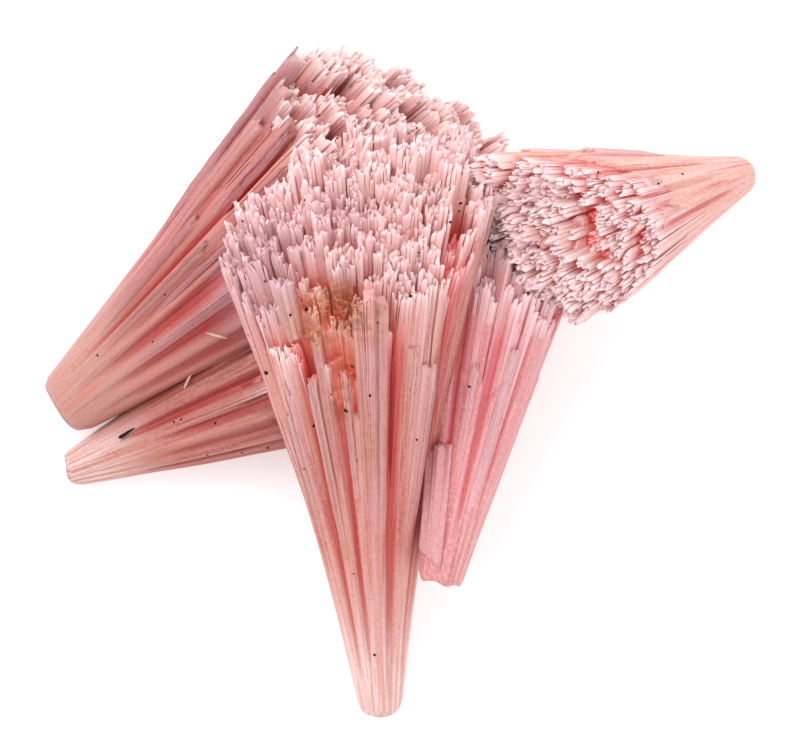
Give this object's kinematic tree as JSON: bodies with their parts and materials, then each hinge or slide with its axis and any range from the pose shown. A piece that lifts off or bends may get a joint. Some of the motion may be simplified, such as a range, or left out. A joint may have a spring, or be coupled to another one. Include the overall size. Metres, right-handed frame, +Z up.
{
  "type": "kutnohorite specimen",
  "caption": "Cluster of wheat-sheaf bundles of pink needle crystals, each narrowing to a blunt root and opening into a domed, jagged head.",
  "frame": {"origin": "under the middle of the specimen's box, on the surface it lies on", "axes": "+Z up from the surface; the front sheaf points along +Y, its root end towards -Y; the right sheaf's root is towards +X"},
  "size_m": [0.0585, 0.0556, 0.0291],
  "materials": {
    "pink_crystal": "satin",
    "pale_crystal": "satin",
    "dark_mineral": "satin"
  },
  "bodies": {
    "root": {"sheaf_cluster": "pink_crystal", "dark_sliver": "dark_mineral", "pale_splinter_upper": "pale_crystal", "pale_splinter_lower": "pale_crystal"}
  },
  "joints": []
}
